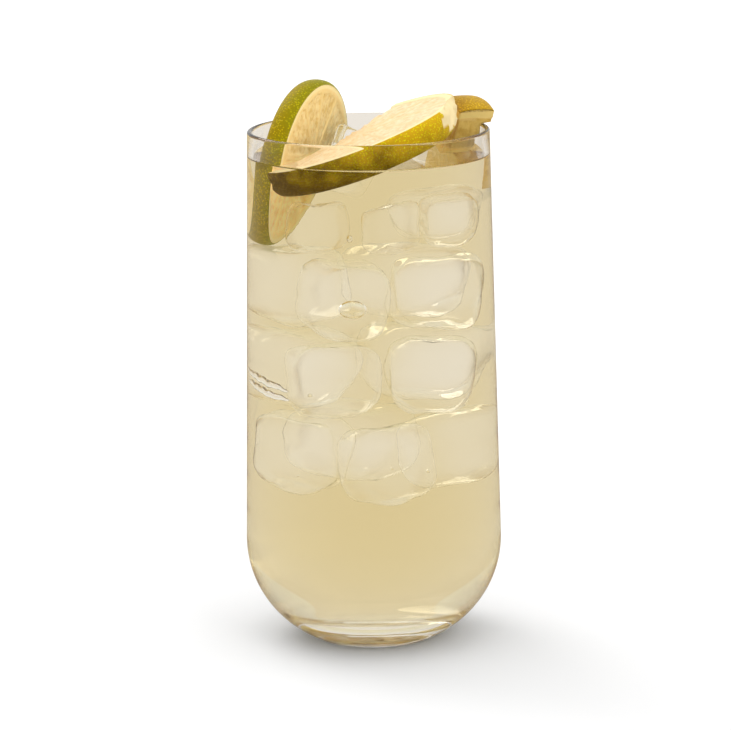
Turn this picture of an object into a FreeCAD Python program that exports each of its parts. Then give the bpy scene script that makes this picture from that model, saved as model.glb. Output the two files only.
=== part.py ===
import FreeCAD, Part

import math
import os

from FreeCAD import Placement, Rotation, Vector

# A long drink served in its glass, in millimetres, +Z up. The origin is the middle of the glass's foot.
# The glass is a stemless tumbler with a rounded bottom. It is filled with a pale drink, in which two lime
# slices and a lime wedge stand among ice. One ice cube breaks the surface.

# ---- glass
glass_height = 150.0
mouth_radius = 35.0      # outside of the rim
belly_radius = 37.5      # outside, where the straight wall meets the rounded bottom
belly_height = 30.0
foot_radius = 18.6       # flat face that the glass stands on
wall = 1.6
base_thickness = 8.5
floor_radius = 14.0      # flat of the inside
floor_curve_top = 32.0   # height at which the inside starts to round in

# ---- drink
fill_drop = 8.0          # from the rim down to the drink
fill_gap = 0.2           # room between the drink and what it touches

# ---- what the limes and the wedge share
rind_and_pith = 2.9      # from the skin to the pulp
core_radius = 2.4
membrane = 0.8           # thickness of the wall between two segments
pulp_recess = 0.35       # how far the pulp lies under the membranes
lime_segments = 10
skin_round = 0.5         # rounding of the cut edge of the skin

# ---- upright lime wheel, on the left
wheel_radius = 23.5
wheel_taper = 0.8        # how much smaller the side away from the drinker is
wheel_thickness = 6.6
wheel_bulge = 0.8        # of its skin, between its two faces
wheel_sink = 2.1         # of its middle under the drink's level
wheel_wall_gap = 0.42    # from the wall to its smaller face, at the drink's level
wheel_turn = -24.0       # degrees about Z of the way its face looks, from +X
wheel_lean = 8.0         # degrees that its top leans over its face

# ---- lime slice lying across the mouth, low on the left and high on the right
slice_radius = 29.0
slice_taper = 3.4
slice_thickness = 8.5
slice_bulge = 1.0
slice_offset = Vector(-0.6, -3.5, 3.4)  # of its middle from the middle of the drink's surface
slice_rise = 20.5        # degrees up to the right
slice_nod = 1.8          # degrees down to the front
slice_gap_apex = (-8.6, -2.1)   # corner of its missing piece, from its middle
slice_gap_from = 55.0    # degrees in its own plane between which the piece is missing
slice_gap_to = 202.0
slice_end_cut = 26.6     # from its middle to the torn end on the right
slice_end_turn = -12.0

# ---- lime wedge that stands over the rim, on the right
wedge_radius = 27.0
wedge_taper = 0.8
wedge_thickness = 10.6
wedge_bulge = 0.4
wedge_azimuth = 20.0     # degrees around the glass, from +X
wedge_reach = 9.2        # from the inside of the rim to the wedge's inner face
wedge_shift = 4.4        # of its tip, around the glass
wedge_lean = 4.0         # degrees that its skin leans out over the rim
wedge_over_rim = 7.2     # of the highest point of its skin
wedge_front = 25.0       # degrees each side of upright at which it is cut
wedge_back = 40.0
rim_clearance = 0.2

# ---- ice cube that breaks the surface, behind the slice
ice_width = 12.5
ice_height = 17.0
ice_draft = 0.8          # each side leans in by this much over its height
ice_round = 2.0
ice_peak = Vector(-9.0, 11.0, 9.0)  # its corner, if it were sharp, from the middle of the drink's surface
ice_turn = -24.0         # degrees about Z, in line with the lime wheel
ice_tip_over = 17.0      # degrees from upright
lime_clearance = 0.25    # between one fruit or ice piece and the next

fill_level = glass_height - fill_drop
far = 3.0 * glass_height


def rotated(axis, degrees):
    return Rotation(axis, degrees)


def placed(shape, centre, rotation):
    moved = shape.copy()
    moved.Placement = Placement(centre, rotation)
    return moved


x_axis, y_axis, z_axis = Vector(1, 0, 0), Vector(0, 1, 0), Vector(0, 0, 1)


# ---- outline of the glass, in the XZ plane
wall_slope = (mouth_radius - belly_radius) / (glass_height - belly_height)
wall_run = Vector(wall_slope, 0, 1).normalize()
wall_inward = Vector(-wall_run.z, 0, wall_run.x)


def outer_radius(height):
    return belly_radius + wall_slope * (height - belly_height)


def inner_radius(height, inset=0.0):
    return outer_radius(height) - (wall + inset) / wall_run.z


def tangent_arc(wall_point, end_point):
    """Arc that leaves wall_point in line with the wall and ends at end_point."""
    chord = wall_point - end_point
    radius = -chord.dot(chord) / (2.0 * wall_inward.dot(chord))
    centre = wall_point + wall_inward * radius
    half_way = (wall_point - centre).normalize() + (end_point - centre).normalize()
    return Part.Arc(wall_point, centre + half_way.normalize() * radius, end_point).toShape()


def revolved(edges):
    face = Part.Face(Part.Wire(edges))
    solid = face.revolve(Vector(0, 0, 0), z_axis, 360.0)
    return Part.Solid(solid.Shells[0])


def line(start, end):
    return Part.LineSegment(start, end).toShape()


def inside(inset, top):
    """Edges of the inside of the glass, from its axis up the wall to the height top, moved in by inset."""
    floor = base_thickness + inset
    floor_edge = Vector(floor_radius, 0, floor)
    curve_end = Vector(inner_radius(floor_curve_top, inset), 0, floor_curve_top)
    wall_top = Vector(inner_radius(top, inset), 0, top)
    return [
        line(Vector(0, 0, floor), floor_edge),
        tangent_arc(curve_end, floor_edge),
        line(curve_end, wall_top),
    ]


lip_start = glass_height - wall / 2.0
lip_outer = Vector(outer_radius(lip_start), 0, lip_start)
lip_inner = Vector(inner_radius(lip_start), 0, lip_start)
lip_crest = Vector((lip_outer.x + lip_inner.x) / 2.0, 0, glass_height)
belly = Vector(belly_radius, 0, belly_height)
foot = Vector(foot_radius, 0, 0)
glass = revolved(
    inside(0.0, lip_start)
    + [
        Part.Arc(lip_inner, lip_crest, lip_outer).toShape(),
        line(lip_outer, belly),
        tangent_arc(belly, foot),
        line(foot, Vector(0, 0, 0)),
        line(Vector(0, 0, 0), Vector(0, 0, base_thickness)),
    ]
)


# ---- lime
def polar(radius, degrees, height):
    angle = math.radians(degrees)
    return Vector(radius * math.cos(angle), radius * math.sin(angle), height)


def disc(radius, taper, thickness, bulge, grow=0.0):
    """Round slice about Z, largest at its upper face, with a bulging skin."""
    top = thickness / 2.0 + grow
    wide = radius + grow
    narrow = radius - taper + grow
    crown = Vector((wide + narrow) / 2.0 + bulge, 0, 0)
    return revolved(
        [
            line(Vector(0, 0, -top), Vector(narrow - skin_round, 0, -top)),
            line(Vector(narrow - skin_round, 0, -top), Vector(narrow, 0, skin_round - top)),
            Part.Arc(Vector(narrow, 0, skin_round - top), crown, Vector(wide, 0, top - skin_round)).toShape(),
            line(Vector(wide, 0, top - skin_round), Vector(wide - skin_round, 0, top)),
            line(Vector(wide - skin_round, 0, top), Vector(0, 0, top)),
            line(Vector(0, 0, top), Vector(0, 0, -top)),
        ]
    )


def pulp_pocket(pulp_radius, middle):
    """Shallow pocket over one segment, between its two membranes."""
    half = 180.0 / lime_segments
    near = half - math.degrees(math.asin(membrane / 2.0 / core_radius))
    wide = half - math.degrees(math.asin(membrane / 2.0 / pulp_radius))
    low = -pulp_recess
    edges = [
        Part.Arc(
            polar(core_radius, middle - near, low),
            polar(core_radius, middle, low),
            polar(core_radius, middle + near, low),
        ).toShape(),
        line(polar(core_radius, middle + near, low), polar(pulp_radius, middle + wide, low)),
        Part.Arc(
            polar(pulp_radius, middle + wide, low),
            polar(pulp_radius, middle, low),
            polar(pulp_radius, middle - wide, low),
        ).toShape(),
        line(polar(pulp_radius, middle - wide, low), polar(core_radius, middle - near, low)),
    ]
    return Part.Face(Part.Wire(edges)).extrude(Vector(0, 0, 2.0 * pulp_recess))


def lime(radius, taper, thickness, bulge):
    """Slice with its segments sunk between their membranes, on both faces."""
    body = disc(radius, taper, thickness, bulge)
    pockets = []
    for number in range(lime_segments):
        middle = 360.0 * (number + 0.5) / lime_segments
        upper = pulp_pocket(radius - rind_and_pith, middle)
        upper.translate(Vector(0, 0, thickness / 2.0))
        lower = pulp_pocket(radius - taper - rind_and_pith, middle)
        lower.translate(Vector(0, 0, -thickness / 2.0))
        pockets += [upper, lower]
    return body.cut(pockets)


def sector(start, end, apex=(0.0, 0.0)):
    """Tall prism between two directions, in degrees, that meet at apex."""
    steps = [start, (2.0 * start + end) / 3.0, (start + 2.0 * end) / 3.0, end]
    corner = Vector(apex[0], apex[1], -far / 2.0)
    points = [corner] + [corner + polar(far, angle, 0.0) for angle in steps] + [corner]
    return Part.Face(Part.makePolygon(points)).extrude(Vector(0, 0, far))


def end_block(distance, degrees):
    """Half space beyond distance from the middle, in the direction degrees."""
    block = Part.makeBox(far, far, far, Vector(distance, -far / 2.0, -far / 2.0))
    block.rotate(Vector(0, 0, 0), z_axis, degrees)
    return block


wheel_rotation = rotated(z_axis, wheel_turn).multiply(rotated(y_axis, 90.0 + wheel_lean))
slice_rotation = rotated(y_axis, -slice_rise).multiply(rotated(x_axis, slice_nod))
slice_centre = Vector(0, 0, fill_level) + slice_offset
wedge_rotation = rotated(z_axis, wedge_azimuth).multiply(rotated(y_axis, 90.0 + wedge_lean))
wedge_out = polar(1.0, wedge_azimuth, 0.0)
wedge_along = polar(1.0, wedge_azimuth + 90.0, 0.0)
wedge_inset = inner_radius(glass_height) - wedge_reach
wedge_centre = (
    wedge_out * (wedge_inset + wedge_thickness / 2.0)
    + wedge_along * wedge_shift
    + Vector(0, 0, glass_height + wedge_over_rim - wedge_radius)
)

# The wheel stands as near to the wall as the glass is wide enough for its smaller, outer face.
wheel_reach = inner_radius(fill_level) - wheel_wall_gap
wheel_inset = math.sqrt(wheel_reach ** 2 - (wheel_radius - wheel_taper) ** 2) - wheel_thickness / 2.0
wheel_centre = polar(-wheel_inset, wheel_turn, fill_level - wheel_sink)

wheel_room = placed(
    disc(wheel_radius, wheel_taper, wheel_thickness, wheel_bulge, lime_clearance),
    wheel_centre,
    wheel_rotation,
)
wheel = placed(lime(wheel_radius, wheel_taper, wheel_thickness, wheel_bulge), wheel_centre, wheel_rotation)

# The wedge is cut out of a slice, and notched where the glass's wall bites into its outer face.
wedge_sector = sector(180.0 - wedge_back, 180.0 + wedge_front)
room_top = glass_height + rim_clearance
glass_room = revolved(
    inside(rim_clearance, room_top)
    + [
        line(Vector(inner_radius(room_top, rim_clearance), 0, room_top), Vector(far, 0, room_top)),
        line(Vector(far, 0, room_top), Vector(far, 0, -rim_clearance)),
        line(Vector(far, 0, -rim_clearance), Vector(0, 0, -rim_clearance)),
        line(Vector(0, 0, -rim_clearance), Vector(0, 0, base_thickness + rim_clearance)),
    ]
)
wedge = placed(
    lime(wedge_radius, wedge_taper, wedge_thickness, wedge_bulge).common(wedge_sector),
    wedge_centre,
    wedge_rotation,
).cut(glass_room)
grown_sector = sector(180.0 - wedge_back, 180.0 + wedge_front, (2.0 * lime_clearance, 0.0))
wedge_room = placed(
    disc(wedge_radius, wedge_taper, wedge_thickness, wedge_bulge, lime_clearance).common(grown_sector),
    wedge_centre,
    wedge_rotation,
)

slice_gap = sector(slice_gap_from, slice_gap_to, slice_gap_apex)
slice_end = end_block(slice_end_cut, slice_end_turn)
lime_slice = placed(
    lime(slice_radius, slice_taper, slice_thickness, slice_bulge).cut([slice_gap, slice_end]),
    slice_centre,
    slice_rotation,
).cut([wheel_room, wedge_room])
grown_gap = sector(
    slice_gap_from, slice_gap_to, (slice_gap_apex[0] - lime_clearance, slice_gap_apex[1] + lime_clearance)
)
slice_room = placed(
    disc(slice_radius, slice_taper, slice_thickness, slice_bulge, lime_clearance).cut(
        [grown_gap, end_block(slice_end_cut + lime_clearance, slice_end_turn)]
    ),
    slice_centre,
    slice_rotation,
)


# ---- ice
def ice_block(grow=0.0):
    """Cube from a tray, narrower at its foot, with melted edges."""
    wide = ice_width / 2.0 + grow
    slim = wide - ice_draft
    half = ice_height / 2.0 + grow
    block = Part.makeWedge(-slim, -half, -slim, -wide, -wide, slim, half, slim, wide, wide)
    block.rotate(Vector(0, 0, 0), x_axis, 90.0)
    return block.makeFillet(ice_round + grow, block.Edges)


ice_rotation = rotated(z_axis, ice_turn).multiply(rotated(y_axis, ice_tip_over))
ice_rotation = ice_rotation.multiply(rotated(x_axis, -ice_tip_over))
ice_corner = Vector(-ice_width / 2.0, -ice_width / 2.0, ice_height / 2.0)
ice_centre = Vector(0, 0, fill_level) + ice_peak - ice_rotation.multVec(ice_corner)
ice = placed(ice_block(), ice_centre, ice_rotation).cut([wheel_room, slice_room])
ice_room = placed(ice_block(lime_clearance), ice_centre, ice_rotation)

# ---- drink, up to its level and round what stands in it
drink_edges = inside(fill_gap, fill_level)
drink_top = Vector(inner_radius(fill_level, fill_gap), 0, fill_level)
drink_edges += [
    line(drink_top, Vector(0, 0, fill_level)),
    line(Vector(0, 0, fill_level), Vector(0, 0, base_thickness + fill_gap)),
]
drink = revolved(drink_edges).cut([wheel_room, slice_room, wedge_room, ice_room])

pieces = {
    "glass": glass,
    "drink": drink,
    "lime_wheel": wheel,
    "lime_slice": lime_slice,
    "lime_wedge": wedge,
    "ice_cube": ice,
}

os.makedirs("parts", exist_ok=True)
for name, shape in pieces.items():
    solids = shape.Solids
    largest = max(solids, key=lambda solid: solid.Volume)
    print(name, len(solids), "solids, valid", shape.isValid(), "volume cm3", round(shape.Volume / 1000.0, 2))
    if len(solids) > 1:
        small = [round(solid.Volume, 2) for solid in solids if solid is not largest]
        print("  smaller solids left out:", small)
    largest.exportStep(os.path.join("parts", name + ".step"))
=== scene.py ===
import math
import random

import bmesh
import bpy
from mathutils import Euler, Matrix, Vector, noise


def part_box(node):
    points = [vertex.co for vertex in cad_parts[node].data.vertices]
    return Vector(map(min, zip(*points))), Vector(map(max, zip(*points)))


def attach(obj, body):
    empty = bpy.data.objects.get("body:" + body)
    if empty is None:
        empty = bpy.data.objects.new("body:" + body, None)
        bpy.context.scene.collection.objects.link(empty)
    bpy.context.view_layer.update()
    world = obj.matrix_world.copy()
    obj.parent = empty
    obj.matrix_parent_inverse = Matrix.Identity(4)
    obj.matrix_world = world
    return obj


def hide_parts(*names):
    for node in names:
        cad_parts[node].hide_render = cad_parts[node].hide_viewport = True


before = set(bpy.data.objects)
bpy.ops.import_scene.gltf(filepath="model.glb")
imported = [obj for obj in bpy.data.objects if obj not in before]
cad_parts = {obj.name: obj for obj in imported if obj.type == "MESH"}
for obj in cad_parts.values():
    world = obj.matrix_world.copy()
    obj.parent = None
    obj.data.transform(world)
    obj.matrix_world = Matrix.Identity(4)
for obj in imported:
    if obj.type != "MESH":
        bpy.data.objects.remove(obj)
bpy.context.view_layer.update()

# ---- Glass
# A stemless tumbler of clear soda glass, blown in a mould: one wall that widens down to a round belly, and
# a thick bottom on a small foot. Its rim is fire-polished. The outline is spun about the glass's axis.
mm = 0.001
glass_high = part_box("glass")[1]
rim = glass_high.z
belly_radius = glass_high.x
mouth_radius = 35.0 * mm
belly_height = 30.0 * mm
foot_radius = 18.6 * mm
foot_lift = 0.35 * mm
foot_hollow = 0.5 * mm
foot_ring = 2.6 * mm
wall = 1.6 * mm
base_thickness = 8.5 * mm
floor_radius = 14.0 * mm
floor_curve_top = 32.0 * mm
steps_round = 160
sharp_corner = math.radians(40)
wall_slope = (mouth_radius - belly_radius) / (rim - belly_height)
wall_run = Vector((wall_slope, 1.0)).normalized()


def blank_material(name):
    """A material with only its output and its main shader, and that shader."""
    material = bpy.data.materials.new(name)
    material.use_nodes = True
    return material, material.node_tree.nodes["Principled BSDF"]


def clear_material(name, tint, ior, shine):
    """Clear stuff. shine is how much of what it would reflect, face on in air, it does reflect."""
    material, main = blank_material(name)
    main.inputs["Base Color"].default_value = tint
    main.inputs["Specular Tint"].default_value = (shine, shine, shine, 1.0)
    main.inputs["Transmission Weight"].default_value = 1.0
    main.inputs["IOR"].default_value = ior
    main.inputs["Roughness"].default_value = 0.0
    return material


def outer_radius(height):
    return belly_radius + wall_slope * (height - belly_height)


def inner_radius(height, inset=0.0):
    return outer_radius(height) - (wall + inset) / wall_run.y


def tangent_arc(start, end, steps):
    """Points on the arc that leaves start in line with the wall and ends at end, both included."""
    inward = Vector((-wall_run.y, wall_run.x))
    chord = start - end
    radius = -chord.dot(chord) / (2.0 * inward.dot(chord))
    centre = start + inward * radius
    first = math.atan2(*(start - centre).yx)
    sweep = math.remainder(math.atan2(*(end - centre).yx) - first, math.tau)
    angles = [first + sweep * i / steps for i in range(steps + 1)]
    return [centre + radius * Vector((math.cos(a), math.sin(a))) for a in angles]


def inside_outline(inset, top):
    """The inside of the glass, from its axis up the wall to the height top, moved in by inset."""
    floor_height = base_thickness + inset
    across = [Vector((floor_radius * i / 6, floor_height)) for i in range(6)]
    curve_top = Vector((inner_radius(floor_curve_top, inset), floor_curve_top))
    curve = tangent_arc(curve_top, Vector((floor_radius, floor_height)), 28)[::-1]
    heights = [floor_curve_top + (top - floor_curve_top) * i / 12 for i in range(1, 13)]
    return across + curve + [Vector((inner_radius(z, inset), z)) for z in heights]


def mark_corners(bm):
    """Keeps the shading of two faces apart where they meet at a corner."""
    for edge in bm.edges:
        edge.smooth = edge.calc_face_angle(0.0) < sharp_corner


def spun(outline, steps):
    """A closed mesh: the outline, as distances from the axis and heights, turned about the axis."""
    bm = bmesh.new()
    points = [bm.verts.new((p.x, 0.0, p.y)) for p in outline]
    edges = [bm.edges.new(pair) for pair in zip(points, points[1:])]
    bmesh.ops.spin(
        bm, geom=points + edges, cent=(0, 0, 0), axis=(0, 0, 1), angle=math.tau,
        steps=steps, use_merge=True,
    )
    bmesh.ops.remove_doubles(bm, verts=bm.verts, dist=0.001 * mm)
    bmesh.ops.recalc_face_normals(bm, faces=bm.faces)
    mark_corners(bm)
    return bm


def as_piece(bm, name, material):
    """The finished mesh as an object at the origin, which moves with the glass."""
    for face in bm.faces:
        face.smooth = True
    mesh = bpy.data.meshes.new(name)
    bm.to_mesh(mesh)
    bm.free()
    mesh.materials.append(material)
    piece = bpy.data.objects.new(name, mesh)
    bpy.context.scene.collection.objects.link(piece)
    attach(piece, "root")
    return piece


lip_height = rim - wall / 2.0
lip_middle = (outer_radius(lip_height) + inner_radius(lip_height)) / 2.0
lip = [
    Vector((lip_middle - wall / 2.0 * math.cos(a), lip_height + wall / 2.0 * math.sin(a)))
    for a in [math.pi * i / 12 for i in range(13)]
]
wall_heights = [lip_height + (belly_height - lip_height) * i / 12 for i in range(1, 12)]
outside = [Vector((outer_radius(z), z)) for z in wall_heights]
belly = tangent_arc(Vector((belly_radius, belly_height)), Vector((foot_radius, foot_lift)), 36)
foot = [
    Vector((foot_radius - 0.5 * mm, 0.02 * mm)),
    Vector((foot_radius - 1.2 * mm, 0.0)),
    Vector((foot_radius - foot_ring, 0.04 * mm)),
]
hollow_radius = foot_radius - foot_ring
hollow = [
    Vector((hollow_radius * (1 - i / 8), foot_hollow * math.sin(math.pi / 2 * i / 8)))
    for i in range(1, 9)
]
tumbler_outline = inside_outline(0.0, lip_height - 0.3 * mm) + lip + outside + belly + foot + hollow
clear_glass = clear_material("clear glass", (0.985, 0.98, 0.965, 1.0), 1.5, 0.12)
tumbler = as_piece(spun(tumbler_outline, steps_round), "tumbler", clear_glass)
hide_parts("glass")

# ---- Ice in the drink
# Clear cubes from a tray, half melted, in four loose layers. Their upper faces have dished and their edges
# have rounded as they melted. Each is a bevelled block that is softened and then worn by noise.
ice_size = 23.0 * mm
ice_layers = (  # height, first turn, number, turn to the next, distance from the axis, share of ice_size
    (56.6 * mm, 12.0, 4, 90.0, 17.6 * mm, 1.0),
    (80.8 * mm, 57.0, 4, 90.0, 17.6 * mm, 1.0),
    (104.6 * mm, -22.0, 4, 90.0, 17.4 * mm, 1.0),
    (125.4 * mm, -128.0, 3, 52.0, 21.4 * mm, 0.66),
    (124.6 * mm, 52.0, 1, 0.0, 19.0 * mm, 0.72),
)
melted_edge = 7.6 * mm
melted_face = 1.6 * mm
dish_depth = 2.2 * mm
mould_draft = 0.94
most_tilt = 9.0
clear_ice = clear_material("clear ice", (1.0, 1.0, 1.0, 1.0), 1.3325, 0.05)


def ice_block(size, rounding, wear, seed):
    """A melted cube about its own middle, its upper face dished."""
    bm = bmesh.new()
    bmesh.ops.create_cube(bm, size=1.0)
    bmesh.ops.scale(bm, vec=size, verts=bm.verts)
    for vertex in bm.verts:
        vertex.co.xy *= mould_draft if vertex.co.z < 0 else 1.0
    bmesh.ops.bevel(
        bm, geom=bm.edges, offset=rounding, segments=4, profile=0.5, affect="EDGES", material=-1
    )
    bmesh.ops.subdivide_edges(bm, edges=bm.edges, cuts=2, use_grid_fill=True)
    for _ in range(3):
        bmesh.ops.smooth_vert(
            bm, verts=bm.verts, factor=0.5, use_axis_x=True, use_axis_y=True, use_axis_z=True
        )
    half = size / 2.0
    for vertex in bm.verts:
        place = vertex.co.copy()
        from_middle = min(1.0, Vector((place.x / half.x, place.y / half.y)).length)
        dish = (1.0 - from_middle) * (place.z > half.z * 0.7)
        broad = noise.noise(place / (9.0 * mm) + Vector((seed, 0, 0)))
        fine = noise.noise(place / (3.2 * mm) + Vector((0, seed, 0)))
        vertex.co += place.normalized() * (broad * wear + fine * wear * 0.22)
        vertex.co.z -= dish * dish_depth
    return bm


def stand(bm, centre, rotation):
    bmesh.ops.transform(bm, matrix=Matrix.Translation(centre) @ rotation, verts=bm.verts)


chance = random.Random(4)
ice_bm = bmesh.new()
for height, first_turn, count, next_turn, from_axis, share in ice_layers:
    for number in range(count):
        size = Vector([ice_size * share * chance.uniform(0.96, 1.03) for _ in range(3)])
        block = ice_block(size, melted_edge * share, melted_face, chance.uniform(0, 50))
        around = math.radians(first_turn + next_turn * number)
        tilt = [math.radians(chance.uniform(-most_tilt, most_tilt)) for _ in range(3)]
        place = Vector((from_axis * math.cos(around), from_axis * math.sin(around), height))
        place.z += chance.uniform(-0.6, 0.6) * mm
        corner_out = around + math.pi / 4 + tilt[2] * 0.6
        stand(block, place, Euler((tilt[0], tilt[1], corner_out)).to_matrix().to_4x4())
        block_mesh = bpy.data.meshes.new("block")
        block.to_mesh(block_mesh)
        block.free()
        ice_bm.from_mesh(block_mesh)
        bpy.data.meshes.remove(block_mesh)
bmesh.ops.recalc_face_normals(ice_bm, faces=ice_bm.faces)
sunk_ice = as_piece(ice_bm, "sunk_ice", clear_ice)

# ---- Ice cube at the surface
# A smaller cube, clear and wet, which floats behind the slice with one corner out of the drink. It is a
# block like the others, tilted about its middle so that the corner points up.
peak_cube = Vector((12.5, 12.5, 17.0)) * mm
peak = Vector((-9.0 * mm, 11.0 * mm, rim + 1.0 * mm))


def turn_about(axis, degrees):
    return Matrix.Rotation(math.radians(degrees), 4, axis)


cube_pose = turn_about("Z", -24) @ turn_about("Y", 17) @ turn_about("X", -17)
cube_corner = cube_pose @ Vector((-peak_cube.x / 2, -peak_cube.y / 2, peak_cube.z / 2))
peak_bm = ice_block(peak_cube, 2.0 * mm, 0.5 * mm, 31.0)
stand(peak_bm, peak - cube_corner, cube_pose)
surface_ice = as_piece(peak_bm, "surface_ice", clear_ice)
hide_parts("ice_cube")

# ---- Drink
# Lime and soda, pale yellow and clear, poured up to 8 mm under the rim. It wets the glass and climbs a
# little at the wall. It reaches just into the wall and into the ice, and has a hollow for each ice cube,
# for each air bubble, and for the air that is caught in two thin wavy pockets at the wall.
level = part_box("drink")[1].z
wall_overlap = 0.12 * mm
ice_overlap = 0.05 * mm
climb = 0.9 * mm
climb_reach = 1.0 * mm
climb_width = 6.0 * mm
climb_steps = 13
air_bubbles = (  # middle and half sizes, in mm
    ((-4.6, -20.0, 101.4), (3.6, 1.6, 2.7)),
    ((-5.4, -29.0, 123.0), (0.8, 0.6, 1.1)),
    ((-16.0, -20.0, 76.5), (0.7, 0.5, 0.5)),
    ((8.2, -26.0, 77.4), (0.4, 0.4, 0.4)),
    ((5.1, -27.0, 56.2), (0.4, 0.4, 0.4)),
    ((-19.4, -18.2, 52.5), (0.35, 0.35, 0.35)),
    ((14.2, -20.6, 54.0), (0.5, 0.5, 0.5)),
)
air_pockets = ((206.0, 79.8, 12.5), (208.0, 76.8, 11.5))  # place round the glass, height and half length
pocket_slope = 0.1
pocket_wave = 2.4 * mm
climb_top = level + climb
drink_outline = inside_outline(-wall_overlap, climb_top)
for step in range(climb_steps + 1):
    reach = climb_width * (step / climb_steps) ** 2
    height = level + climb * math.exp(-reach / climb_reach)
    drink_outline.append(Vector((inner_radius(climb_top) - reach, height)))
drink_outline += [Vector((drink_outline[-1].x * (1 - i / 4), level)) for i in range(1, 5)]


def hollowed(bm, filling, overlap):
    """bm, a closed mesh, with a hollow for the piece that stands in it. That piece overlaps bm a little."""
    pair = []
    for source in (bm, filling.data):
        mesh = bpy.data.meshes.new("block")
        if source is bm:
            bm.to_mesh(mesh)
        else:
            smaller = bmesh.new()
            smaller.from_mesh(source)
            smaller.normal_update()
            for vertex in smaller.verts:
                vertex.co -= vertex.normal * overlap
            smaller.to_mesh(mesh)
            smaller.free()
        pair.append(bpy.data.objects.new("block", mesh))
        bpy.context.scene.collection.objects.link(pair[-1])
    cut = pair[0].modifiers.new("hollow", "BOOLEAN")
    cut.operation, cut.solver, cut.object = "DIFFERENCE", "EXACT", pair[1]
    shown = pair[0].evaluated_get(bpy.context.evaluated_depsgraph_get())
    bm.clear()
    bm.from_mesh(shown.to_mesh())
    for block in pair:
        bpy.data.meshes.remove(block.data)
    mark_corners(bm)
    return bm


drink_bm = hollowed(spun(drink_outline, steps_round), surface_ice, ice_overlap)
solid = set(drink_bm.verts)
drink_bm.from_mesh(sunk_ice.data)
ice_hollows = [v for v in drink_bm.verts if v not in solid]
drink_bm.normal_update()
for vertex in ice_hollows:
    vertex.co -= vertex.normal * ice_overlap
for middle, size in air_bubbles:
    bubble = bmesh.ops.create_uvsphere(drink_bm, u_segments=24, v_segments=14, radius=1.0)["verts"]
    bmesh.ops.scale(drink_bm, vec=Vector(size) * mm, verts=bubble)
    bmesh.ops.translate(drink_bm, vec=Vector(middle) * mm, verts=bubble)
for around, height, half_length in air_pockets:
    pocket = bmesh.ops.create_uvsphere(drink_bm, u_segments=72, v_segments=12, radius=1.0)["verts"]
    for vertex in pocket:
        along, depth, rise = vertex.co
        along *= half_length * mm
        ripple = noise.noise(Vector((along / pocket_wave, height, 0.0)))
        height_here = (height + 0.7 * ripple + 1.1 * rise) * mm - pocket_slope * along
        away = inner_radius(height_here) - (1.1 + 0.35 * ripple - 0.45 * depth) * mm
        angle = math.radians(around) + along / away
        vertex.co = Vector((away * math.cos(angle), away * math.sin(angle), height_here))
hollow_faces = [f for f in drink_bm.faces if f.verts[0] not in solid]
bmesh.ops.reverse_faces(drink_bm, faces=hollow_faces)
pale_drink = clear_material("pale lime drink", (1.0, 1.0, 1.0, 1.0), 1.335, 0.15)
drink_nodes = pale_drink.node_tree
absorb = drink_nodes.nodes.new("ShaderNodeVolumeAbsorption")
absorb.inputs["Color"].default_value = (0.836, 0.70, 0.171, 1.0)
absorb.inputs["Density"].default_value = 14.0
drink_nodes.links.new(absorb.outputs["Volume"], drink_nodes.nodes["Material Output"].inputs["Volume"])
poured = as_piece(drink_bm, "poured_drink", pale_drink)
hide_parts("drink")

# ---- Lime wheel
# A whole slice of lime that stands on edge at the left of the glass. The skin is green-yellow and pored.
# Inside it are a cream pith and ten segments of pulp, which stand a little lower than the walls between
# them. Its section is spun about its middle, and each point is then moved out to its place on the fruit.
rind = 2.9 * mm
core = 2.4 * mm
membrane = 0.8 * mm
pulp_recess = 0.35 * mm
pulp_corner = 1.8 * mm
pulp_slope = 0.45 * mm
skin_round = 0.5 * mm
skin_steps = 14
segments = 10
vesicle_long = 4.6 * mm
vesicle_wide = 1.15 * mm
vesicle_rise = 0.55 * mm
cut_vesicle_rise = 0.7 * mm
crumb_rise = 0.07 * mm
torn_depth = 1.3 * mm
cut_steps = 15
hair = 1e-5
# Painted glow: the share of each lime's colour that it emits, and the extra share it emits below the
# drink's level.
painted_glow_share = 0.12
painted_glow_under_drink = 0.34
spot_gain = 2.5
spot_share = 0.6


class Wire:
    """A shader socket. An operator on it adds the Math node that works it out."""

    def __init__(self, tree, socket=None):
        self.tree, self.socket = tree, socket

    def node(self, kind, settings, values, output=0):
        """Adds a node: its settings first, then a value or a Wire for each socket, by name or number."""
        made = self.tree.nodes.new(kind)
        for name, value in settings.items():
            setattr(made, name, value)
        for key, value in values.items():
            named = [s for s in made.inputs if s.enabled and s.name == key]
            socket = made.inputs[key] if isinstance(key, int) else named[0]
            if isinstance(value, Wire):
                self.tree.links.new(value.socket, socket)
            else:
                socket.default_value = value
        shown = [s for s in made.outputs if s.enabled]
        found = shown[output] if isinstance(output, int) else made.outputs[output]
        return Wire(self.tree, found)

    def feed(self, socket):
        self.tree.links.new(self.socket, socket)

    def math(self, operation, *values):
        return self.node("ShaderNodeMath", {"operation": operation}, dict(enumerate(values)))

    def mix(self, start, end):
        """Colour between start and end, by this value."""
        ends = {"Factor": self, "A": start, "B": end}
        return self.node("ShaderNodeMix", {"data_type": "RGBA"}, ends)

    def ramp(self, low, high):
        """This value stretched so that low gives 0 and high gives 1, and held there."""
        ends = {"Value": self, "From Min": low, "From Max": high}
        return self.node("ShaderNodeMapRange", {"interpolation_type": "SMOOTHSTEP"}, ends)

    def __add__(self, other):
        return self.math("ADD", self, other)

    def __sub__(self, other):
        return self.math("SUBTRACT", self, other)

    def __rsub__(self, other):
        return self.math("SUBTRACT", other, self)

    def __mul__(self, other):
        return self.math("MULTIPLY", self, other)

    __radd__ = __add__
    __rmul__ = __mul__


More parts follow.
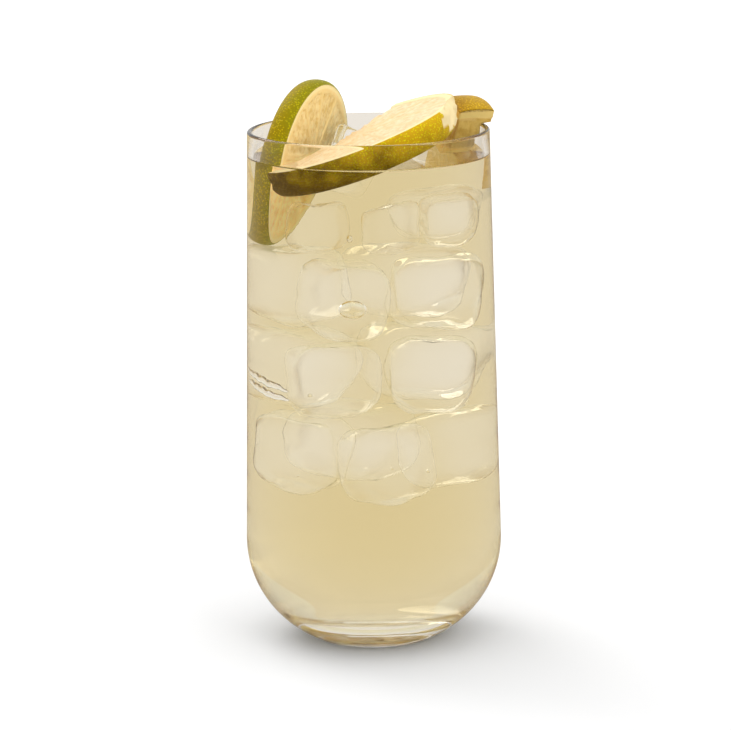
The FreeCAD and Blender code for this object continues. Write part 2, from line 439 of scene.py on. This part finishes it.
def paint(code):
    """A colour as it looks on screen, such as F0E0C0, as the shader's own numbers."""
    parts = [int(code[i : i + 2], 16) / 255.0 for i in (0, 2, 4)]
    return tuple(p / 12.92 if p < 0.04045 else ((p + 0.055) / 1.055) ** 2.4 for p in parts) + (1.0,)


def heading(degrees):
    return Vector((math.cos(math.radians(degrees)), math.sin(math.radians(degrees))))


def smooth_step(value):
    value = min(1.0, max(0.0, value))
    return value * value * (3.0 - 2.0 * value)


def pulp_at(x, y, pulp_radius, seed):
    """How far a point is inside a segment, its place across that segment, and the segment's number."""
    radius, angle = math.hypot(x, y), math.atan2(y, x)
    angle += 0.10 * math.sin(2 * angle + seed) + 0.07 * math.sin(3 * angle + 2.0 * seed)
    turn = (angle / math.tau) % 1.0 * segments
    offset = (turn % 1.0 - 0.5) * math.tau / segments
    to_wall = radius * math.sin(math.pi / segments - abs(offset)) - membrane / 2.0
    to_rind = pulp_radius - radius + 0.5 * mm * noise.noise(Vector((x, y, seed * mm)) / (5.0 * mm))
    depth = min(to_wall, to_rind)
    if to_wall < pulp_corner and to_rind < pulp_corner:
        depth = pulp_corner - math.hypot(pulp_corner - to_wall, pulp_corner - to_rind)
    return min(depth, radius - core), radius * math.sin(offset), math.floor(turn)


def vesicle_at(along, across, number):
    """0 in the middle of a juice vesicle and about 1 at its edge."""
    place = Vector((along / vesicle_long, across / vesicle_wide, 7.3 * number))
    return min(1.0, noise.voronoi(place)[0][0])


def swelling(vesicle):
    """How far a vesicle stands out there, as a share of its rise: up in its middle, down at its edge."""
    return 0.38 - 0.75 * vesicle


def unit_slice(start, end, rings, steps):
    """A flat drum of radius 1 from height -1 to 1, or its part from start to end, closed by two cuts."""
    bm = bmesh.new()
    whole = end - start >= 359.9
    side = [(i / rings, 1.0) for i in range(rings + 1)]
    side += [(1.0, math.cos(math.pi * k / skin_steps)) for k in range(1, skin_steps)]
    side += [(i / rings, -1.0) for i in range(rings, -1, -1)]
    turned = Matrix.Rotation(math.radians(start), 3, "Z")
    points = [bm.verts.new(turned @ Vector((t, 0.0, s))) for t, s in side]
    edges = [bm.edges.new(pair) for pair in zip(points, points[1:])]
    bmesh.ops.spin(
        bm, geom=points + edges, cent=(0, 0, 0), axis=(0, 0, 1), angle=math.radians(end - start),
        steps=steps, use_merge=whole,
    )
    bmesh.ops.remove_doubles(bm, verts=bm.verts, dist=hair)
    cut = []
    for angle in () if whole else (start, end):
        way = heading(angle)
        outline = [v for v in bm.verts if (v.co.xy - way * v.co.xy.length).length < hair]
        upper = [v for v in outline if v.co.z > hair]
        upper.sort(key=lambda v: (round(v.co.xy.length, 4), -v.co.z))
        lower = [v for v in outline if v.co.z < -hair]
        lower.sort(key=lambda v: (round(v.co.xy.length, 4), v.co.z))
        middle = [v for v in outline if abs(v.co.z) <= hair]
        corners = list(zip(upper, upper[1:], lower[1:], lower)) + [(upper[-1], middle[0], lower[-1])]
        cut += [bm.faces.new(verts) for verts in corners]
    upright = {e for f in cut for e in f.edges if (e.verts[0].co.xy - e.verts[1].co.xy).length < hair}
    upright = [e for e in upright if abs(e.verts[0].co.z - e.verts[1].co.z) > 1.99]
    if upright:
        bmesh.ops.subdivide_edges(bm, edges=upright, cuts=cut_steps, use_grid_fill=False)
    return bm


def lime_mesh(
    radius, taper, thickness, bulge, start, end, rings, steps, apex=(0, 0), chord=None, seed=0.0
):
    """A slice, or its part from the angle start to end about apex, flat about Z, widest at its upper face.
    chord is the distance and the heading of a line along which its rind is torn off."""
    bm = unit_slice(start, end, rings, steps)
    zone = bm.verts.layers.float_vector.new("zone")
    flat = bm.verts.layers.float_vector.new("flat")
    half = thickness / 2.0
    narrow = radius - taper
    apex = Vector(apex)
    for vertex in bm.verts:
        t, s = vertex.co.xy.length, vertex.co.z
        angle = math.atan2(vertex.co.y, vertex.co.x)
        way = Vector((math.cos(angle), math.sin(angle)))
        limit = narrow + (radius - narrow) * (s + 1.0) / 2.0
        limit += bulge * (1.0 - s * s) - skin_round * abs(s) ** 6
        along = apex.dot(way)
        reach = -along + math.sqrt(max(0.0, along * along - apex.dot(apex) + limit * limit))
        skin = 1.0
        if chord:
            away = heading(chord[1])
            if away.dot(way) > 0.05:
                ragged = noise.noise(Vector((vertex.co.x * 9, vertex.co.y * 9, s * 1.6)))
                to_chord = (chord[0] + torn_depth * ragged - away.dot(apex)) / away.dot(way)
                if to_chord < reach:
                    reach, skin = to_chord, 0.0
        spot = apex + way * reach * t
        on_face = abs(s) > 0.9999
        on_band = t > 0.9999
        pulp_radius = (radius if s > 0 else narrow) - rind
        depth, sideways, number = pulp_at(spot.x, spot.y, pulp_radius, seed)
        pulp = smooth_step(depth / pulp_slope)
        distance = spot.length
        height = 0.0
        vesicle = 0.5
        if on_face and not on_band:
            vesicle = vesicle_at(distance, sideways, number)
            crumb = noise.noise(Vector((spot.x, spot.y, s * mm)) / (1.3 * mm))
            height = (swelling(vesicle) * vesicle_rise - pulp_recess) * pulp + crumb_rise * crumb
        elif not on_band:
            vesicle = vesicle_at(distance, half * s, 40.0 + start)
            pulp = smooth_step((pulp_radius - distance) / pulp_slope)
            pulp *= smooth_step((distance - core) / (0.6 * mm))
            at_end = abs(math.degrees(angle) % 360 - end % 360) < 0.1
            outward = Vector((-way.y, way.x)) * (1.0 if at_end else -1.0)
            spot += outward * (swelling(vesicle) * cut_vesicle_rise * pulp * min(1.0, 4 * t))
        vertex[zone] = Vector((skin if on_band else 0.0, 0.0 if on_band else pulp, vesicle))
        vertex[flat] = Vector((spot.x, spot.y, half * s))
        vertex.co = Vector((spot.x, spot.y, half * s + (height if s > 0 else -height)))
    bmesh.ops.recalc_face_normals(bm, faces=bm.faces)
    return bm


def spot_tone(skin):
    """The lighter colour of the oil glands in a skin of this colour."""
    return tuple(min(1.0, spot_gain * c + 0.02) for c in skin[:2]) + (skin[2], 1.0)


def lime_material(
    name, skin_low, skin_high, skin_from, skin_to, pith_from, pith, walls, pulp_low, pulp_high
):
    """Lime: pored skin, from skin_low to skin_high along X, pith, and pulp in vesicles. A share of its
    colour is emitted as a painted glow that stands in for light shining through it, and a larger share is
    emitted below the drink's level."""
    material, main = blank_material(name)
    make = Wire(material.node_tree)
    main.inputs["Specular IOR Level"].default_value = 0.06
    main.inputs["Emission Strength"].default_value = 1.0
    parts = make.node("ShaderNodeAttribute", {"attribute_name": "zone"}, {}, "Vector")
    skin = make.node("ShaderNodeSeparateXYZ", {}, {"Vector": parts}, "X")
    split = skin.socket.node
    pulp, vesicle = Wire(make.tree, split.outputs["Y"]), Wire(make.tree, split.outputs["Z"])
    flat = make.node("ShaderNodeAttribute", {"attribute_name": "flat"}, {}, "Vector")
    across = make.node("ShaderNodeSeparateXYZ", {}, {"Vector": flat}, "Z")
    place = make.node("ShaderNodeTexCoord", {}, {}, "Object")
    side = make.node("ShaderNodeSeparateXYZ", {}, {"Vector": place}, "X")
    height = Wire(make.tree, side.socket.node.outputs["Z"])

    def noisy(vector, scale, detail):
        sockets = {"Vector": vector, "Scale": scale, "Detail": detail}
        return make.node("ShaderNodeTexNoise", {}, sockets, "Fac")

    patches = noisy(place, 170.0, 5.0)
    fibre = noisy(flat, 480.0, 6.0)
    grain = noisy(place, 1500.0, 3.0)
    cells = make.node("ShaderNodeTexVoronoi", {}, {"Vector": place, "Scale": 1500.0}, "Distance")
    glands = 1.0 - cells.ramp(0.12, 0.5)
    # Skin colour runs along X from skin_low to skin_high, with random patches, and is lighter towards the
    # upper face. On the slice, this run along X is painted shade that is dark at the front left.
    tone_and_painted_shade = side.ramp(skin_from, skin_to) + (patches - 0.5) * 1.1 + across * 45.0
    skin_blend_with_painted_shade = tone_and_painted_shade.ramp(0.0, 1.0)
    spots = skin_blend_with_painted_shade.mix(spot_tone(skin_low), spot_tone(skin_high))
    skin_colour = (glands * spot_share).mix(skin_blend_with_painted_shade.mix(skin_low, skin_high), spots)
    juicy = (vesicle * 0.5 + (fibre - 0.5) * 2.2 + (grain - 0.5) * 0.9).ramp(-0.25, 0.8)
    pulp_colour = juicy.mix(pulp_high, pulp_low)
    wall_colour = (fibre.ramp(0.35, 0.7) * 0.5).mix(walls, pulp_high)
    from_middle = make.node("ShaderNodeVectorMath", {"operation": "LENGTH"}, {0: flat}, "Value")
    pith_mask = from_middle.ramp(pith_from - 0.4 * mm, pith_from + 0.3 * mm)
    inner_colour = pulp.mix(pith_mask.mix(wall_colour, pith), pulp_colour)
    colour = skin.mix(inner_colour, skin_colour)
    colour.feed(main.inputs["Base Color"])
    # Painted glow: the colour is also emitted, and more of it below the drink's level.
    under_drink = 1.0 - height.ramp(level - 3.0 * mm, level + 1.5 * mm)
    painted_glow_colour = (painted_glow_share + under_drink * painted_glow_under_drink).mix((0.0, 0.0, 0.0, 1.0), colour)
    painted_glow_colour.feed(main.inputs["Emission Color"])
    rough = 0.34 + 0.2 * (1.0 - pulp) - 0.14 * skin
    rough.feed(main.inputs["Roughness"])
    relief = glands * skin * 0.35 + (fibre * 0.6 + grain * 0.25) * (1.0 - skin)
    bump = make.node("ShaderNodeBump", {}, {"Strength": 0.5, "Distance": 0.6 * mm, "Height": relief})
    bump.feed(main.inputs["Normal"])
    return material


wheel_radius = 23.5 * mm
wheel_thickness = 6.6 * mm
wheel_low, wheel_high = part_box("lime_wheel")
wheel_centre = (wheel_low + wheel_high) / 2.0
wheel_pose = turn_about("Z", -24) @ turn_about("Y", 98)
wheel_bm = lime_mesh(
    wheel_radius, taper=0.8 * mm, thickness=wheel_thickness, bulge=0.8 * mm,
    start=0, end=360, rings=60, steps=380, seed=1.3,
)
stand(wheel_bm, wheel_centre, wheel_pose)
wheel_lime = lime_material(
    "lime wheel", skin_low=paint("988000"), skin_high=paint("8C860A"), skin_from=-36 * mm, skin_to=-8 * mm,
    pith_from=wheel_radius - 1.5 * mm, pith=paint("FCEAB0"), walls=paint("F2D894"),
    pulp_low=paint("E0C27A"), pulp_high=paint("FBE6AC"),
)
wheel = as_piece(wheel_bm, "wheel_of_lime", wheel_lime)
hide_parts("lime_wheel")

# ---- Lime wedge
# A short piece of a thicker slice, cut through to the core, that stands over the rim at the right and is
# pressed against the wall. Its skin is up. The cut face towards the drinker is the dull side of a segment.
wedge_radius = 27.0 * mm
wedge_thickness = 10.6 * mm
wedge_over_rim = 7.2 * mm
wedge_wall_gap = 0.2 * mm
wedge_azimuth = 20
wedge_out = heading(wedge_azimuth).to_3d()
wedge_along = Vector((-wedge_out.y, wedge_out.x, 0))
wedge_middle = wedge_out * (24.2 * mm + wedge_thickness / 2.0) + wedge_along * 4.4 * mm
wedge_centre = wedge_middle + Vector((0, 0, rim + wedge_over_rim - wedge_radius))
wedge_pose = turn_about("Z", wedge_azimuth) @ turn_about("Y", 94)
wedge_bm = lime_mesh(
    wedge_radius, taper=0.8 * mm, thickness=wedge_thickness, bulge=0.4 * mm,
    start=140, end=205, rings=64, steps=84, seed=4.1,
)
stand(wedge_bm, wedge_centre, wedge_pose)
for vertex in wedge_bm.verts:
    away = vertex.co.xy.length
    room = inner_radius(vertex.co.z) - wedge_wall_gap
    if vertex.co.z < rim + 0.25 * mm and away > room:
        vertex.co.xy *= room / away
wedge_lime = lime_material(
    "lime wedge", skin_low=paint("9C7404"), skin_high=paint("B88E18"), skin_from=18 * mm, skin_to=36 * mm,
    pith_from=wedge_radius - rind, pith=paint("F8DA88"), walls=paint("ECCA7C"),
    pulp_low=paint("DAB054"), pulp_high=paint("EECA70"),
)
wedge = as_piece(wedge_bm, "wedge_of_lime", wedge_lime)
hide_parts("lime_wedge")

# ---- Lime slice
# A thick slice that lies across the mouth, low at the front left and high at the right. A third of it is
# missing at the back, where the wheel stands, and its rind is torn off at its right end. Where it meets
# the wheel and the wedge, its points are pressed back to their faces.
slice_radius = 29.0 * mm
slice_thickness = 8.5 * mm
slice_centre = Vector((-0.6 * mm, -3.5 * mm, rim - 4.6 * mm))
slice_pose = turn_about("Y", -20.5) @ turn_about("X", 1.8)
press_gap = 0.5 * mm
slice_bm = lime_mesh(
    slice_radius, taper=3.4 * mm, thickness=slice_thickness, bulge=1.0 * mm,
    start=202, end=415, rings=72, steps=290,
    apex=(-8.6 * mm, -2.1 * mm), chord=(26.6 * mm, -12), seed=2.2,
)
stand(slice_bm, slice_centre, slice_pose)


def press(bm, centre, pose, radius, thickness, side):
    """Moves what reaches into another slice out to that slice's face on the given side."""
    frame_of_slice = Matrix.Translation(centre) @ pose
    into_slice = frame_of_slice.inverted()
    half = thickness / 2 + press_gap
    for vertex in bm.verts:
        place = into_slice @ vertex.co
        if place.xy.length < radius + 0.3 * mm and abs(place.z) < half:
            place.z = side * half
            vertex.co = frame_of_slice @ place


press(slice_bm, wheel_centre, wheel_pose, wheel_radius, wheel_thickness, 1)
press(slice_bm, wedge_centre, wedge_pose, wedge_radius, wedge_thickness, -1)
# The slice's skin runs from a dark olive at the front left, which is painted shade, to gold at the right.
slice_lime = lime_material(
    "lime slice", skin_low=paint("5C4400"), skin_high=paint("D8AC18"), skin_from=-34 * mm, skin_to=30 * mm,
    pith_from=slice_radius - 2.6 * mm, pith=paint("FAE6B0"), walls=paint("F0D09C"),
    pulp_low=paint("EAC68E"), pulp_high=paint("F8E2B8"),
)
lime_slice = as_piece(slice_bm, "slice_of_lime", slice_lime)
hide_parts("lime_slice")

# ---- Floor, light and camera
# A plain pale floor, a soft light from behind on the left, a weak one from the front, and white all round,
# a little dimmer where the glass mirrors it. To the camera the floor is a white that takes the shadow.
stage_radius = 6.0
stage_drop = 0.1 * mm
mirrored_loss = 0.25
through_gain = 0.15
floor_bm = bmesh.new()
bmesh.ops.create_circle(floor_bm, cap_ends=True, segments=64, radius=stage_radius)
bmesh.ops.translate(floor_bm, vec=(0, 0, -stage_drop), verts=floor_bm.verts)
floor_mesh = bpy.data.meshes.new("floor")
floor_bm.to_mesh(floor_mesh)
floor_bm.free()
floor = bpy.data.objects.new("floor", floor_mesh)
bpy.context.scene.collection.objects.link(floor)
floor_paint, floor_main = blank_material("pale floor")
floor_main.inputs["Base Color"].default_value = (0.46, 0.41, 0.34, 1.0)
floor_main.inputs["Roughness"].default_value = 1.0
floor_main.inputs["Specular IOR Level"].default_value = 0.0
make = Wire(floor_paint.node_tree)
seen = make.node("ShaderNodeLightPath", {}, {}, "Is Camera Ray")
through = Wire(make.tree, seen.socket.node.outputs["Is Transmission Ray"])
white = make.node("ShaderNodeBsdfDiffuse", {}, {"Color": (1.0, 1.0, 1.0, 1.0)})
pale = make.node("ShaderNodeEmission", {}, {"Color": (0.86, 0.81, 0.74, 1.0), "Strength": 1.0})
tone = Wire(make.tree, floor_main.outputs["BSDF"])
tone = make.node("ShaderNodeMixShader", {}, {0: through, 1: tone, 2: pale})
tone = make.node("ShaderNodeMixShader", {}, {0: seen, 1: tone, 2: white})
tone.feed(make.tree.nodes["Material Output"].inputs["Surface"])
floor_mesh.materials.append(floor_paint)

world = bpy.data.worlds.new("white surround")
world.use_nodes = True
bpy.context.scene.world = world
air = Wire(world.node_tree)
mirrored = air.node("ShaderNodeLightPath", {}, {}, "Is Glossy Ray")
through = Wire(air.tree, mirrored.socket.node.outputs["Is Transmission Ray"])
surround = world.node_tree.nodes["Background"]
surround.inputs["Color"].default_value = (1.0, 1.0, 1.0, 1.0)
strength = 1.0 - mirrored_loss * mirrored + through_gain * through
strength.feed(surround.inputs["Strength"])


def soft_light(name, place, size, power):
    lamp = bpy.data.lights.new(name, "AREA")
    lamp.shape, lamp.size, lamp.energy = "DISK", size, power
    light = bpy.data.objects.new(name, lamp)
    bpy.context.scene.collection.objects.link(light)
    aim = Vector((0, 0, rim / 2)) - Vector(place)
    light.location = place
    light.rotation_euler = aim.to_track_quat("-Z", "Y").to_euler()


soft_light("back softbox", (-0.8, 1.0, 1.3), 1.2, 8.0)
soft_light("front fill", (0.9, -1.3, 1.0), 1.0, 3.0)

camera_distance = 1.05
camera_tilt = math.radians(12.0)
camera_roll = math.radians(-0.8)
camera_data = bpy.data.cameras.new("camera")
camera_data.sensor_width = 36.0
camera_data.lens = 176.8
camera_data.shift_x, camera_data.shift_y = -0.0086, 0.0242
camera_data.clip_start, camera_data.clip_end = 0.05, 40.0
camera = bpy.data.objects.new("camera", camera_data)
bpy.context.scene.collection.objects.link(camera)
back, up = camera_distance * math.cos(camera_tilt), camera_distance * math.sin(camera_tilt)
looking = Matrix.Rotation(math.pi / 2 - camera_tilt, 4, "X") @ Matrix.Rotation(camera_roll, 4, "Z")
camera.matrix_world = Matrix.Translation((0, -back, rim / 2 + up)) @ looking
bpy.context.scene.camera = camera
bpy.context.scene.view_settings.view_transform = "Standard"
most_bounces = 128
paths = bpy.context.scene.cycles
paths.max_bounces = most_bounces
paths.transmission_bounces = most_bounces
paths.glossy_bounces = most_bounces
